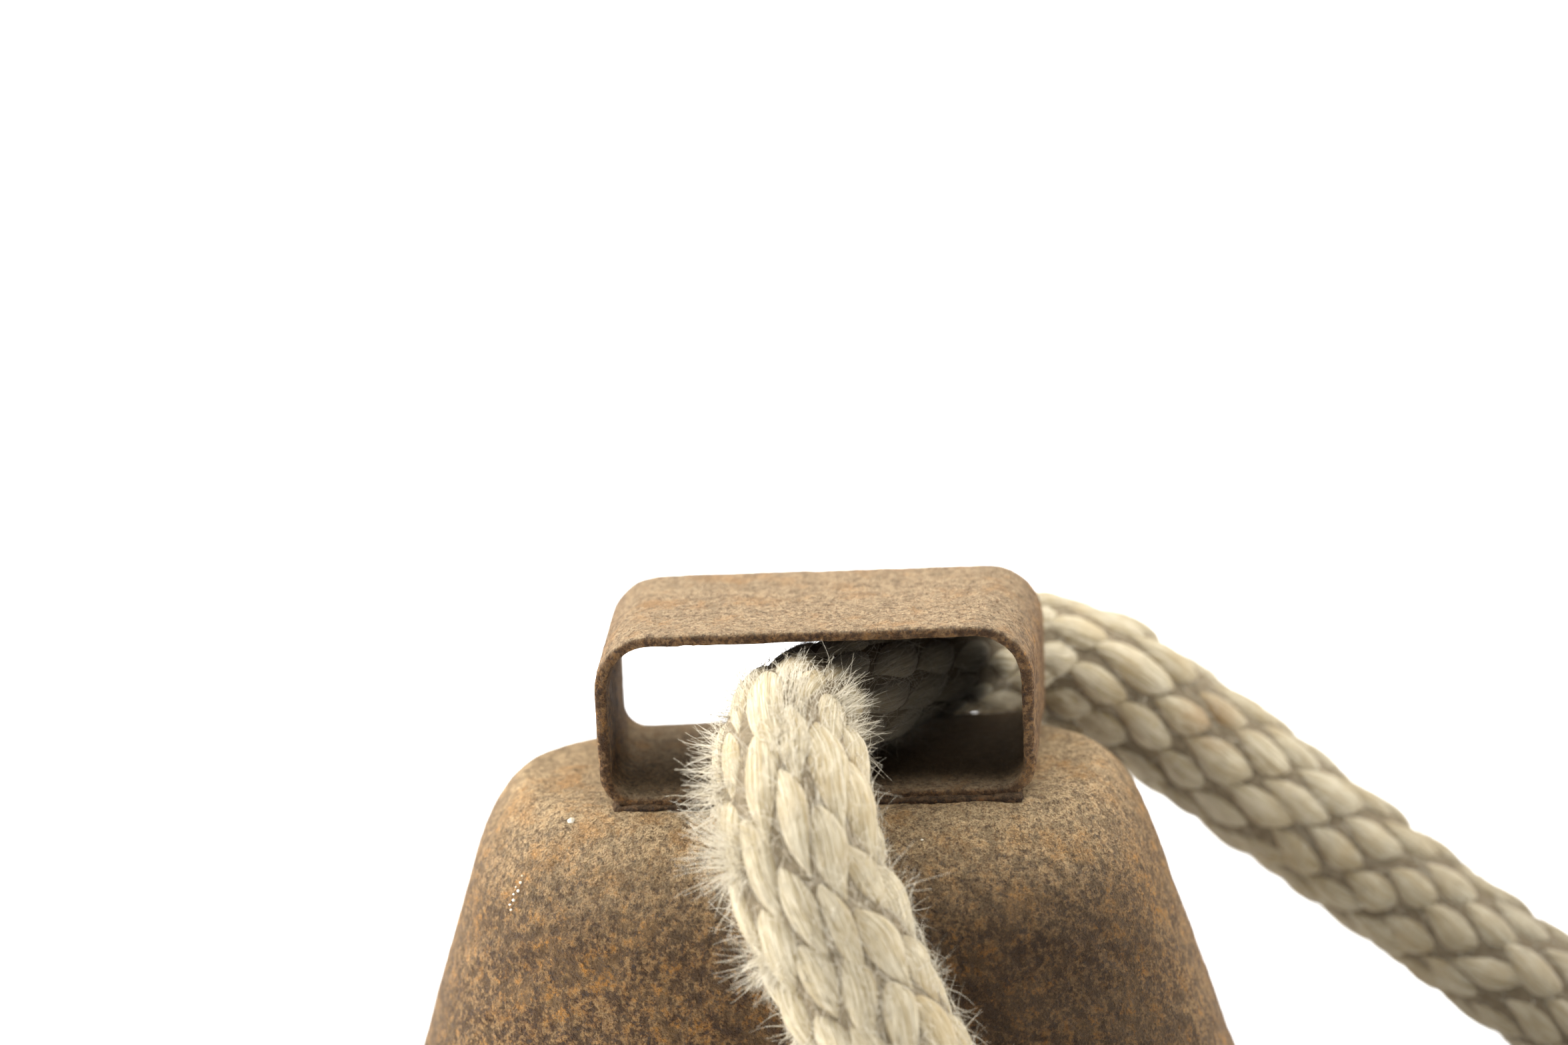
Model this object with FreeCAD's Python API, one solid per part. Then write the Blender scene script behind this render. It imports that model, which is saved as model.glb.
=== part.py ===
import FreeCAD, Part

# Rustic sheet-iron cowbell with a strap loop on its crown, a hanging clapper and a braided rope collar.
#
# The row frame is in millimetres: +Z up, X across the wide face, Y from front to back. The origin is the centre
# of the mouth, on the plane that the rim stands on.

import math
import os

V = FreeCAD.Vector

# ---- driving dimensions, in millimetres and degrees ----
SHEET = 1.5                 # iron sheet of the body
BODY_HEIGHT = 98.0          # mouth plane to crown
CROWN_HALF = (34.2, 13.5)   # half width and half depth of the flat crown
SHOULDER_SWELL = (4.4, 10.0)    # how far the shoulder rounds outwards, in X and Y
SHOULDER_DROP = (12.0, 14.0)    # how far down the rounding runs, in X and Y
FLARE = (0.3145, 0.22)      # outward run of the walls per millimetre down, in X and Y
EASE_FROM = 40.0            # below this depth the flare eases off
EASE = (0.0009, 0.00063)    # how quickly it eases, in X and Y
OVAL_POWER = 2.8            # 2 is an ellipse, higher is squarer

LAP_WIDTH = 16.0            # riveted side seam, where the sheet doubles
LAP_TOP = 58.0              # the lap is hammered flush by this height
LAP_TAPER = 16.0            # height over which it thins out below that
RIVET_HEIGHTS = (11.0, 24.0, 37.0)
RIVET_SHANK_R = 1.6
RIVET_HEAD_R = 3.2
RIVET_HEAD_H = 1.5
HOLE_CLEARANCE = 0.05

STRAP = 1.4                 # strap iron of the crown loop
STRAP_DEPTH = 25.0
STRAP_X_FRONT = (-24.8, 27.2)   # outside faces of the loop at its front edge
STRAP_X_REAR = (-24.6, 29.1)    # the hand-bent loop splays a little towards the rear
STRAP_HEIGHT = (21.9, 20.9)     # outside height, front and rear
STRAP_TOP_R = 7.0
STRAP_FOOT_R = 4.2
STRAP_GAP = 0.6             # butt gap between the strap's two ends, under the rope
LOOP_X = 1.2                # the loop sits a little to one side of the bell's axis

TANG_SPACING = 11.0         # two tangs of the clapper staple, through crown and strap
TANG_R = 1.5
TANG_HEAD_R = 2.7
TANG_HEAD_H = 0.9
STAPLE_WIRE_R = 2.0
STAPLE_DROP = 16.0          # crown plane to the centre of the staple's bar
STAPLE_BEND_R = 3.0
LINK_WIRE_R = 1.75
LINK_INNER = (9.0, 9.6)     # inner width and height of the link
LINK_BEND_R = 2.8
PLAY = 0.12                 # gap where one loop hangs on another
CLAPPER_EYE_WIRE_R = 2.0
CLAPPER_EYE_HOLE_R = 2.7
CLAPPER_ROD_R = 3.0
CLAPPER_BALL_R = 11.0
CLAPPER_BALL_Z = 20.0
BALL_SEAT_R = 2.4           # the rod narrows to this radius through the ball
ROD_TAIL = 2.2              # peened end below the ball

ROPE_R = 8.2
ROPE_RING_SPACING = 5.0
ROPE_LAP_GAP = 2.0          # between the two rope ends where they lie side by side
TWINE_R = 0.8
SEIZING_WIDTH = 11.0
SEIZING_SPACING = 17.0
WHIPPING_WIDTH = 9.0
WHIPPING_INSET = 4.5        # bare rope left beyond each whipping
WRAP_GAP = 0.15             # twine to rope


def arc_share(t):
    """Quarter-ellipse profile: 0 at the crown's edge, 1 where the wall starts."""
    t = min(max(t, 0.0), 1.0)
    return math.sqrt(1.0 - (1.0 - t) ** 2)


def half_size(axis, depth, inset=0.0):
    """Half width (axis 0) or half depth (axis 1) of the body, depth below its crown, inset by a wall."""
    down = depth - inset
    swell = SHOULDER_SWELL[axis] - inset * (math.sqrt(1.0 + FLARE[axis] ** 2) - FLARE[axis])
    drop = SHOULDER_DROP[axis] - inset
    ease = EASE[axis] * max(0.0, depth - EASE_FROM) ** 2
    return CROWN_HALF[axis] + swell * arc_share(down / drop) + FLARE[axis] * down - ease


def oval(a, b, z, points=48):
    """Closed superellipse wire."""
    curve = []
    for i in range(points):
        angle = 2.0 * math.pi * i / points
        c, s = math.cos(angle), math.sin(angle)
        r = (abs(c / a) ** OVAL_POWER + abs(s / b) ** OVAL_POWER) ** (-1.0 / OVAL_POWER)
        curve.append(V(r * c, r * s, z))
    spline = Part.BSplineCurve()
    spline.interpolate(curve, PeriodicFlag=True)
    return Part.Wire(spline.toShape())


def body_depths(inset, bottom):
    """Depths below the crown for the loft's sections: close together on the shoulder, wide apart below it."""
    reach = max(SHOULDER_DROP) - inset
    shoulder = [inset + reach * (1.0 - math.cos(math.radians(d))) for d in (0, 8, 18, 30, 43, 57, 72, 90)]
    wall = [24.0, 34.0, 44.0, 54.0, 64.0, 76.0, 88.0]
    return shoulder + wall + [bottom]


def bell_solid(inset, grow=None, bottom=BODY_HEIGHT):
    """The body's form as a filled solid. grow(depth) adds to both half sizes."""
    sections = []
    for depth in body_depths(inset, bottom):
        more = grow(depth) if grow else 0.0
        sections.append(oval(half_size(0, depth, inset) + more, half_size(1, depth, inset) + more,
                             BODY_HEIGHT - depth))
    return Part.makeLoft(sections, True, False)


def lap_grow(depth):
    """Thickness of the side lap: a full sheet low down, nothing above LAP_TOP."""
    flush = BODY_HEIGHT - LAP_TOP
    share = (depth - flush) / LAP_TAPER
    return SHEET * min(1.0, max(-0.6, share))


def wall_normal(depth):
    """Outward unit normal of the right-hand wall, leaning up by the flare at that depth."""
    slope = FLARE[0] - 2.0 * EASE[0] * max(0.0, depth - EASE_FROM)
    return V(1.0, 0.0, slope).normalize()


def rivet_places(side):
    """Point on the lap's outer face and outward direction, for each rivet on the side +1 or -1."""
    places = []
    for z in RIVET_HEIGHTS:
        depth = BODY_HEIGHT - z
        n = wall_normal(depth)
        x = half_size(0, depth) + lap_grow(depth)
        places.append((V(side * x, 0.0, z), V(side * n.x, 0.0, n.z)))
    return places


def bell_body():
    """One folded sheet: crown, two faces and doubled side laps, pierced for the rivets and the staple."""
    outer = bell_solid(0.0)
    lapped = bell_solid(0.0, lap_grow)
    lap_box = Part.makeBox(200.0, LAP_WIDTH, LAP_TOP + 4.0, V(-100.0, -LAP_WIDTH / 2.0, 0.0))
    outer = outer.fuse(lapped.common(lap_box))
    shell = outer.cut(bell_solid(SHEET, bottom=BODY_HEIGHT + 3.0))
    hole_reach = 12.0
    for side in (1, -1):
        for point, out in rivet_places(side):
            start = point - out * hole_reach / 2.0
            shell = shell.cut(Part.makeCylinder(RIVET_SHANK_R + HOLE_CLEARANCE, hole_reach, start, out))
    for x in tang_xs():
        hole = Part.makeCylinder(TANG_R + HOLE_CLEARANCE, 3.0 * SHEET, V(x, 0, BODY_HEIGHT - 2.0 * SHEET))
        shell = shell.cut(hole)
    return shell.removeSplitter()


def revolve_profile(points, origin, out):
    """Solid of revolution: points are (radius, height along out)."""
    profile = Part.makePolygon([V(r, 0, h) for r, h in points] + [V(points[0][0], 0, points[0][1])])
    solid = Part.Face(profile).revolve(V(0, 0, 0), V(0, 0, 1), 360)
    turn = FreeCAD.Rotation(V(0, 0, 1), out)
    solid.Placement = FreeCAD.Placement(origin, turn)
    return solid


def dome_points(r, h, base, steps=6):
    """Points over a dome of base radius r and height h, from its edge to its middle."""
    return [(r * math.cos(a), base + h * math.sin(a)) for a in
            [math.pi / 2.0 * i / steps for i in range(steps + 1)]]


def seam_rivets(side):
    """Domed rivets through one side lap, each with its tail spread on the inside."""
    doubled = 2.0 * SHEET * 1.02
    tail_r, tail_h, seat = 2.5, 1.0, 0.2
    rivets = []
    for point, out in rivet_places(side):
        inside = -(doubled + seat + tail_h)
        points = [(0.0, inside), (tail_r, inside), (tail_r, inside + tail_h), (RIVET_SHANK_R, inside + tail_h),
                  (RIVET_SHANK_R, seat)]
        points += dome_points(RIVET_HEAD_R, RIVET_HEAD_H, seat)
        points[-1] = (0.0, seat + RIVET_HEAD_H)
        rivets.append(revolve_profile(points, point, out))
    return Part.makeCompound(rivets)


def rounded_rectangle(x0, x1, z0, z1, top_r, foot_r, y):
    """Closed wire in the XZ plane at y, with one radius for the upper corners and one for the lower."""
    corners = [(x0, z0, foot_r, 180), (x1, z0, foot_r, 270), (x1, z1, top_r, 0), (x0, z1, top_r, 90)]
    arcs = []
    for x, z, r, start in corners:
        cx = x + r if x == x0 else x - r
        cz = z + r if z == z0 else z - r
        at = [V(cx + r * math.cos(math.radians(start + d)), y, cz + r * math.sin(math.radians(start + d)))
              for d in (0, 45, 90)]
        arcs.append(Part.Arc(*at).toShape())
    edges = []
    for i, arc in enumerate(arcs):
        following = arcs[(i + 1) % 4]
        edges.append(arc)
        edges.append(Part.makeLine(arc.Vertexes[-1].Point, following.Vertexes[0].Point))
    return Part.Wire(edges)


def strap_form(inset, overhang):
    """The loop's outline lofted from front to rear, inset by the strap's thickness for its inside."""
    wires = []
    half = STRAP_DEPTH / 2.0
    for y, (x0, x1), height in ((-half, STRAP_X_FRONT, STRAP_HEIGHT[0]), (half, STRAP_X_REAR, STRAP_HEIGHT[1])):
        outward = math.copysign(overhang, y)
        z0 = BODY_HEIGHT
        wires.append(rounded_rectangle(x0 + inset, x1 - inset, z0 + inset, z0 + height - inset,
                                       STRAP_TOP_R - inset, STRAP_FOOT_R - inset, y + outward))
    return Part.makeLoft(wires, True, True)


def crown_strap():
    """Strap iron bent into a loop. Its two ends meet on the crown, and one tang holds each."""
    loop = strap_form(0.0, 0.0).cut(strap_form(STRAP, 0.5))
    gap = Part.makeBox(STRAP_GAP, STRAP_DEPTH + 4.0, STRAP * 3.0,
                       V(LOOP_X - STRAP_GAP / 2.0, -STRAP_DEPTH / 2.0 - 2.0, BODY_HEIGHT - STRAP))
    loop = loop.cut(gap)
    for x in tang_xs():
        loop = loop.cut(Part.makeCylinder(TANG_R + HOLE_CLEARANCE, STRAP * 3.0, V(x, 0, BODY_HEIGHT - STRAP)))
    return loop


def tang_xs():
    return (LOOP_X - TANG_SPACING / 2.0, LOOP_X + TANG_SPACING / 2.0)


def pipe(points, radius, closed=False):
    """Round wire along a polyline whose inner corners are (point, bend radius)."""
    path = bent_path(points, closed)
    start = path.Edges[0]
    at, along = start.valueAt(start.FirstParameter), start.tangentAt(start.FirstParameter)
    ring = Part.Wire(Part.makeCircle(radius, at, along))
    return path.makePipeShell([ring], True, False)


def bent_path(points, closed):
    """Wire of straight runs joined by arcs. points holds (vector, bend radius)."""
    n = len(points)
    marks = []
    for i, (p, r) in enumerate(points):
        if not closed and i in (0, n - 1):
            marks.append((p, p, None))
            continue
        before, after = points[(i - 1) % n][0], points[(i + 1) % n][0]
        u, w = (before - p).normalize(), (after - p).normalize()
        half = u.getAngle(w) / 2.0
        run = r / math.tan(half)
        centre = p + (u + w).normalize() * (r / math.sin(half))
        middle = centre + (p - centre).normalize() * r
        marks.append((p + u * run, p + w * run, middle))
    edges = []
    for i in range(n):
        a, b, middle = marks[i]
        if middle is not None:
            edges.append(Part.Arc(a, middle, b).toShape())
        if closed or i < n - 1:
            edges.append(Part.makeLine(b, marks[(i + 1) % n][0]))
    return Part.Wire(edges)


def clapper_staple():
    """Squared U of round iron under the crown. Its shouldered tangs are peened over on the strap."""
    bar_z = BODY_HEIGHT - STAPLE_DROP
    shoulder_z = BODY_HEIGHT - SHEET - 0.05
    left, right = tang_xs()
    u = pipe([(V(left, 0, shoulder_z), 0), (V(left, 0, bar_z), STAPLE_BEND_R),
              (V(right, 0, bar_z), STAPLE_BEND_R), (V(right, 0, shoulder_z), 0)], STAPLE_WIRE_R)
    seat = BODY_HEIGHT + STRAP + 0.02
    for x in (left, right):
        tang = [(0.0, shoulder_z - 1.0), (TANG_R, shoulder_z - 1.0), (TANG_R, seat)]
        tang += dome_points(TANG_HEAD_R, TANG_HEAD_H, seat)
        tang[-1] = (0.0, seat + TANG_HEAD_H)
        u = u.fuse(revolve_profile(tang, V(x, 0, 0), V(0, 0, 1)))
    return u


def link_heights():
    """Centre heights of the staple's bar and of the link's upper and lower runs."""
    bar = BODY_HEIGHT - STAPLE_DROP
    upper = bar + STAPLE_WIRE_R + LINK_WIRE_R + PLAY
    return bar, upper, upper - LINK_INNER[1] - 2.0 * LINK_WIRE_R


def clapper_link():
    """Rounded rectangular link in the YZ plane, hung on the staple's bar."""
    _, upper, lower = link_heights()
    half = LINK_INNER[0] / 2.0 + LINK_WIRE_R
    r = LINK_BEND_R
    corners = [(V(LOOP_X, -half, upper), r), (V(LOOP_X, half, upper), r),
               (V(LOOP_X, half, lower), r), (V(LOOP_X, -half, lower), r)]
    return pipe(corners, LINK_WIRE_R, closed=True)


def clapper_rod():
    """Forged rod with an eye in the XZ plane round the link's lower run, and a peened tail under the ball."""
    lower = link_heights()[2]
    ring_r = CLAPPER_EYE_HOLE_R + CLAPPER_EYE_WIRE_R
    eye_z = lower - (CLAPPER_EYE_HOLE_R - LINK_WIRE_R - PLAY)
    eye = Part.makeTorus(ring_r, CLAPPER_EYE_WIRE_R, V(LOOP_X, 0, eye_z), V(0, 1, 0))
    seat = math.sqrt(CLAPPER_BALL_R ** 2 - CLAPPER_ROD_R ** 2) + 0.05
    shoulder = CLAPPER_BALL_Z + seat
    ball_foot = CLAPPER_BALL_Z - seat
    neck_z = eye_z - ring_r - CLAPPER_EYE_WIRE_R / 2.0
    rod = [(0.0, neck_z + 1.0), (CLAPPER_EYE_WIRE_R, neck_z + 1.0), (CLAPPER_ROD_R, neck_z - 5.0),
           (CLAPPER_ROD_R, shoulder), (BALL_SEAT_R, shoulder), (BALL_SEAT_R, ball_foot),
           (CLAPPER_ROD_R + 0.4, ball_foot), (CLAPPER_ROD_R, ball_foot - ROD_TAIL), (0.0, ball_foot - ROD_TAIL)]
    return eye.fuse(revolve_profile(rod, V(LOOP_X, 0, 0), V(0, 0, 1)))


def clapper_ball():
    """Iron ball threaded on the rod."""
    ball = Part.makeSphere(CLAPPER_BALL_R, V(LOOP_X, 0, CLAPPER_BALL_Z))
    seat = math.sqrt(CLAPPER_BALL_R ** 2 - CLAPPER_ROD_R ** 2)
    for z, height in ((CLAPPER_BALL_Z + seat, 5.0), (CLAPPER_BALL_Z - seat - 5.0, 5.0)):
        ball = ball.cut(Part.makeCylinder(2.0 * CLAPPER_ROD_R, height, V(LOOP_X, 0, z)))
    bore = Part.makeCylinder(BALL_SEAT_R + HOLE_CLEARANCE, 4.0 * CLAPPER_BALL_R,
                             V(LOOP_X, 0, CLAPPER_BALL_Z - 2.0 * CLAPPER_BALL_R))
    return ball.cut(bore)


# ---- the rope's centre line ----
SADDLE_TURN = math.radians(32.0)    # the rope crosses the loop slantwise, this far from the loop's own axis
SADDLE_MIDDLE = (7.0, 0.0)
SADDLE_HALF = 15.3                  # half length of the straight run in the loop
SADDLE_Z = BODY_HEIGHT + STRAP + TANG_HEAD_H + ROPE_R + 0.25
LAP_OFFSET = ROPE_R + ROPE_LAP_GAP / 2.0
LAP_X = (78.0, 134.0)           # the two rope ends lie side by side between these
LAP_Y = -72.0
LAP_Z = ROPE_R + WRAP_GAP + 2.0 * TWINE_R + 0.05    # high enough for the twine under it
FLOOR_Z = ROPE_R + 0.5


def saddle_point(run):
    """Place on the straight run in the loop, at a distance from its middle."""
    return (SADDLE_MIDDLE[0] + run * math.sin(SADDLE_TURN), SADDLE_MIDDLE[1] + run * math.cos(SADDLE_TURN), SADDLE_Z)


def rope_points():
    """Up the front face, through the strap loop, behind it and down to the floor on the right."""
    front_leg = [
        (LAP_X[0] + 5.0, LAP_Y - LAP_OFFSET, LAP_Z),
        (LAP_X[0] + 1.0, LAP_Y - LAP_OFFSET, LAP_Z),
        (LAP_X[0] - 4.0, LAP_Y - LAP_OFFSET + 0.1, LAP_Z),
        (60.5, LAP_Y - 4.4, LAP_Z + 1.4),
        (48.0, LAP_Y + 3.0, 16.5),
        (37.5, -61.0, 26.0),
        (27.5, -52.3, 39.5),
        (19.5, -45.4, 53.5),
        (13.2, -40.6, 66.2),
        (8.6, -37.4, 76.9),
        (5.4, -35.6, 84.2),
        (2.9, -34.2, 90.3),
        (0.6, -32.0, 96.4),
        (-0.7, -28.2, 101.9),
        (-1.5, -22.8, 106.0),
        (-2.0, -17.4, SADDLE_Z - 0.5),
    ]
    saddle = [saddle_point(share * SADDLE_HALF) for share in (-1.0, -0.6, -0.2, 0.2, 0.6, 1.0)]
    rear_leg = [
        (18.3, 18.2, SADDLE_Z - 1.7),
        (22.5, 22.5, SADDLE_Z - 4.0),
        (28.8, 25.7, BODY_HEIGHT + 3.6),
        (36.4, 27.0, BODY_HEIGHT - 0.9),
        (45.0, 27.6, BODY_HEIGHT - 7.2),
        (56.0, 27.4, BODY_HEIGHT - 15.6),
        (67.0, 26.6, BODY_HEIGHT - 24.4),
        (81.3, 22.0, BODY_HEIGHT - 34.6),
        (95.5, 14.4, BODY_HEIGHT - 43.4),
    ]
    far_bend = [
        (113.0, 4.0, BODY_HEIGHT - 54.0),
        (130.0, -7.0, BODY_HEIGHT - 65.0),
        (145.0, -20.0, FLOOR_Z + 12.6),
        (153.0, -34.5, FLOOR_Z + 4.2),
        (151.5, -48.5, FLOOR_Z + 0.5),
        (142.5, -58.5, FLOOR_Z + 0.4),
        (LAP_X[1] - 4.0, LAP_Y + LAP_OFFSET - 0.1, LAP_Z),
        (LAP_X[1] - 9.0, LAP_Y + LAP_OFFSET, LAP_Z),
        (LAP_X[1] - 13.0, LAP_Y + LAP_OFFSET, LAP_Z),
    ]
    return front_leg + saddle + rear_leg + far_bend


def rope_ring(at, along, side):
    """Circle square to the centre line, with its start turned to the given side."""
    ring = Part.makeCircle(ROPE_R)
    turn = FreeCAD.Rotation(side, along.cross(side), along, "XYZ")
    ring.Placement = FreeCAD.Placement(at, turn)
    return Part.Wire(ring)


def rope():
    """Thick solid-braid rope, a plain round solid through rings square to its centre line."""
    points = [V(*p) for p in rope_points()]
    towards_bell = V(-1, 0, 0)
    curve = Part.BSplineCurve()
    curve.interpolate(points)
    side = V(0, 1, 0)
    rings = [rope_ring(V(LAP_X[1], points[0].y, LAP_Z), towards_bell, side)]
    spans = round(curve.length() / ROPE_RING_SPACING)
    for i in range(spans + 1):
        at_parameter = curve.parameterAtDistance(curve.length() * i / spans, curve.FirstParameter)
        along = curve.tangent(at_parameter)[0]
        side = (side - along * side.dot(along)).normalize()
        rings.append(rope_ring(curve.value(at_parameter), along, side))
    rings.append(rope_ring(V(LAP_X[0], points[-1].y, LAP_Z), towards_bell, side))
    return Part.makeLoft(rings, True, True)


def stadium(x0, width, r):
    """Solid bar along X from x0, with a section that goes round both rope ends at radius r."""
    y0, y1 = LAP_Y - LAP_OFFSET, LAP_Y + LAP_OFFSET
    left = Part.Arc(V(x0, y0, LAP_Z + r), V(x0, y0 - r, LAP_Z), V(x0, y0, LAP_Z - r)).toShape()
    right = Part.Arc(V(x0, y1, LAP_Z - r), V(x0, y1 + r, LAP_Z), V(x0, y1, LAP_Z + r)).toShape()
    foot = Part.makeLine(V(x0, y0, LAP_Z - r), V(x0, y1, LAP_Z - r))
    head = Part.makeLine(V(x0, y1, LAP_Z + r), V(x0, y0, LAP_Z + r))
    return Part.Face(Part.Wire([left, foot, right, head])).extrude(V(width, 0, 0))


def lap_seizing(centre_x):
    """Twine wound round both rope ends where they lie side by side."""
    inner = ROPE_R + WRAP_GAP
    x0 = centre_x - SEIZING_WIDTH / 2.0
    band = stadium(x0, SEIZING_WIDTH, inner + 2.0 * TWINE_R)
    return band.cut(stadium(x0 - 1.0, SEIZING_WIDTH + 2.0, inner))


def end_whipping(end_x, y, inward):
    """Twine wound round one rope end so that the braid can't come apart."""
    inner = ROPE_R + WRAP_GAP
    start = V(end_x + inward * WHIPPING_INSET, y, LAP_Z)
    ring = Part.makeCylinder(inner + TWINE_R, WHIPPING_WIDTH, start, V(inward, 0, 0))
    return ring.cut(Part.makeCylinder(inner, WHIPPING_WIDTH, start, V(inward, 0, 0)))


def nodes():
    lap_middle = sum(LAP_X) / 2.0
    return {
        "bell_body": bell_body(),
        "seam_rivets_left": seam_rivets(-1),
        "seam_rivets_right": seam_rivets(1),
        "crown_strap": crown_strap(),
        "clapper_staple": clapper_staple(),
        "clapper_link": clapper_link(),
        "clapper_rod": clapper_rod(),
        "clapper_ball": clapper_ball(),
        "rope": rope(),
        "rope_seizing_inner": lap_seizing(lap_middle - SEIZING_SPACING / 2.0),
        "rope_seizing_outer": lap_seizing(lap_middle + SEIZING_SPACING / 2.0),
        "front_end_whipping": end_whipping(LAP_X[1], LAP_Y - LAP_OFFSET, -1),
        "rear_end_whipping": end_whipping(LAP_X[0], LAP_Y + LAP_OFFSET, 1),
    }


def main():
    os.makedirs("parts", exist_ok=True)
    for name, shape in nodes().items():
        solids = shape.Solids
        assert solids and all(s.isValid() for s in solids), name
        shape.exportStep(f"parts/{name}.step")
        print(name, "solids", len(solids), "volume", round(sum(s.Volume for s in solids), 1))


main()
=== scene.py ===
import math

import bpy
import numpy as np
from mathutils import Matrix, Vector, noise


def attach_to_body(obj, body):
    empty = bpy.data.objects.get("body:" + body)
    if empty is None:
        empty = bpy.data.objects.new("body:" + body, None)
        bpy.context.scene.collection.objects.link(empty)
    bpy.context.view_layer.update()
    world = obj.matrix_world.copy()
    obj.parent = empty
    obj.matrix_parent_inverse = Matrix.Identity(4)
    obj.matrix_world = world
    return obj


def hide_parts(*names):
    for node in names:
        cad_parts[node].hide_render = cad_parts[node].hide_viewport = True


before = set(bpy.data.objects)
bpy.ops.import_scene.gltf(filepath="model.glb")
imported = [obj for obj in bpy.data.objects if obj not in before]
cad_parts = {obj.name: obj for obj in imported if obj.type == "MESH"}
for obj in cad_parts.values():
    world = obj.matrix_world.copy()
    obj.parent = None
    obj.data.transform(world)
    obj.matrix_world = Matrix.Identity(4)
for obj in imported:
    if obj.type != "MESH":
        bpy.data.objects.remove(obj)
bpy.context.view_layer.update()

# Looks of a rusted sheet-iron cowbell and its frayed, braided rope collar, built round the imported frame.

MM = 0.001
FULL_TURN = 2.0 * math.pi
rng = np.random.default_rng(7)

# ---- the bell's form, in millimetres, as in the part's source ----
SHEET = 1.5
BODY_HEIGHT = 98.0
CROWN_HALF = (34.2, 13.5)
SHOULDER_SWELL = (4.4, 10.0)
SHOULDER_DROP = (12.0, 14.0)
FLARE = (0.3145, 0.22)
EASE_FROM = 40.0            # depth from which the flare eases
EASE = (0.0009, 0.00063)
OVAL_POWER = 2.8
LAP_HALF_WIDTH = 8.0
LAP_TOP = 58.0
LAP_TAPER = 16.0

STRAP = 1.4
STRAP_HALF_DEPTH = 12.5
STRAP_X_FRONT = (-24.8, 27.2)
STRAP_X_REAR = (-24.6, 29.1)
STRAP_HEIGHT = (21.9, 20.9)
STRAP_TOP_R = 7.0
STRAP_FOOT_R = 4.2
LOOP_X = 1.2

# ---- the bell's skin: darkness, and relief as (height, feature size) ----
BODY_COLUMNS = 400          # points round each ring of the skin
# amounts of darkening: stain and wear with painted shade round the rope, darker behind, painted shade inside
OILY_AND_SHADE_TONE, RUBBED_AND_SHADE_TONE, BACK_TONE, INSIDE_SHADE_TONE = 0.62, 0.30, 0.34, 0.55
DENTS, SCALE, GRAIN, PITS = (0.32, 19.0), (0.11, 5.0), (0.085, 1.7), (0.16, 2.3)
STRAP_DENTS, STRAP_GRAIN, STRAP_PITS, STRAP_WANDER = (0.10, 6.0), (0.06, 1.6), (0.12, 2.0), (0.25, 16.0)

# ---- the rope ----
RUST_STAIN = (51.0, 20.0, 95.0)     # where the bell has marked the rope
ROPE_R = 8.2
SADDLE_X, SADDLE_Z = 7.0, 108.75    # where the rope crosses the strap loop
SADDLE_TURN = math.radians(32.0)
LAP_X = (78.0, 134.0)       # the rope's ends, side by side on the floor
LAP_Y = (-81.2, -62.8)
LAP_Z = 10.0
BRAID_COLUMNS = 25
STITCH_PITCH = 19.7         # along one column
COLUMN_SHIFT = 0.4          # share of the pitch that each column lags its neighbour
STITCH_HALF = 5.5           # on the front leg, where the rope is pulled long
STITCH_HALF_SLACK = 5.05    # elsewhere
STITCH_HALF_WIDTH = 2.74
END_MARGIN = 3.1            # bare run at each rope end
STITCH_DEPTH = 1.6
STITCH_TILT = math.radians(-5.0)
STITCH_BLUNT = 0.22         # shift of the widest place to the blunt end, as a share of the half length
STITCH_ROLL = 0.35          # one edge of each stitch rides over its neighbour
LOOP_SQUEEZE = 0.038        # share of its girth that the rope loses in the strap loop
REAR_SWELL = 0.08           # and gains just behind it
FLAT_WIDER, FLAT_THINNER = 0.16, 0.10
CORE_SHARE = 0.89           # radius of the core, as a share of the rope's
TWINE_R = 0.8
WRAP_INNER = ROPE_R + 0.15
SEIZING_WIDTH = 11.0
SEIZING_OFFSET = 8.5        # of each seizing from the middle of the ends' overlap
WHIPPING_WIDTH = 9.0
FIBRE_RINGS = 7
FIBRE_SIDES = 3

# ---- colours: rust as dark, mid, light, orange, and dust that also holds painted top light ----
SHEET_RUST = [(0.050, 0.025, 0.013), (0.185, 0.098, 0.043), (0.36, 0.222, 0.100),
              (0.50, 0.215, 0.040), (0.68, 0.50, 0.285)]
STRAP_RUST = [(0.070, 0.034, 0.016), (0.22, 0.12, 0.057), (0.37, 0.225, 0.11),
              (0.42, 0.20, 0.06), (0.515, 0.390, 0.242)]
RIVET_RUST = [(0.022, 0.012, 0.008), (0.070, 0.038, 0.020), (0.17, 0.10, 0.055),
              (0.22, 0.10, 0.035), (0.22, 0.15, 0.085)]
CLAPPER_RUST = [(0.020, 0.013, 0.009), (0.060, 0.037, 0.022), (0.12, 0.078, 0.046),
                (0.17, 0.085, 0.035), (0.16, 0.115, 0.075)]
# the first is the iron's grime and painted shade; the second is for slate specks
IRON_SHADE_AND_GRIME, SLATE = (0.020, 0.012, 0.007), (0.036, 0.034, 0.038)
# colours of the rope's dirt and painted shade, on its fibre and on its core
ROPE_SHADE_AND_GRIME, CORE_SHADE_AND_GRIME = (0.045, 0.035, 0.022), (0.030, 0.022, 0.014)
ROPE_TAN, RUST_ON_ROPE = (0.42, 0.31, 0.155), (0.30, 0.17, 0.06)

# ---- light and camera: watts, metres and degrees ----
TOP_POWER, LEFT_POWER, RIGHT_POWER, FRONT_POWER = 50.0, 48.0, 20.0, 5.0
WORLD_LIGHT, WORLD_SEEN = 0.24, 1.0
LIGHT_AIM = (0.0, 0.0, 0.08)
CAMERA_TURN = (2.5, 18.5, -2.7)                     # yaw, elevation and roll
CAMERA_FROM_LOOP = (-0.00447, 0.0296, 0.53169)      # right, up and back from the strap's foot
LENS, F_STOP = 100.0, 8.0
FOCUS_Z = 110.0             # of the point in focus, in millimetres


# ---- meshes ----

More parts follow.
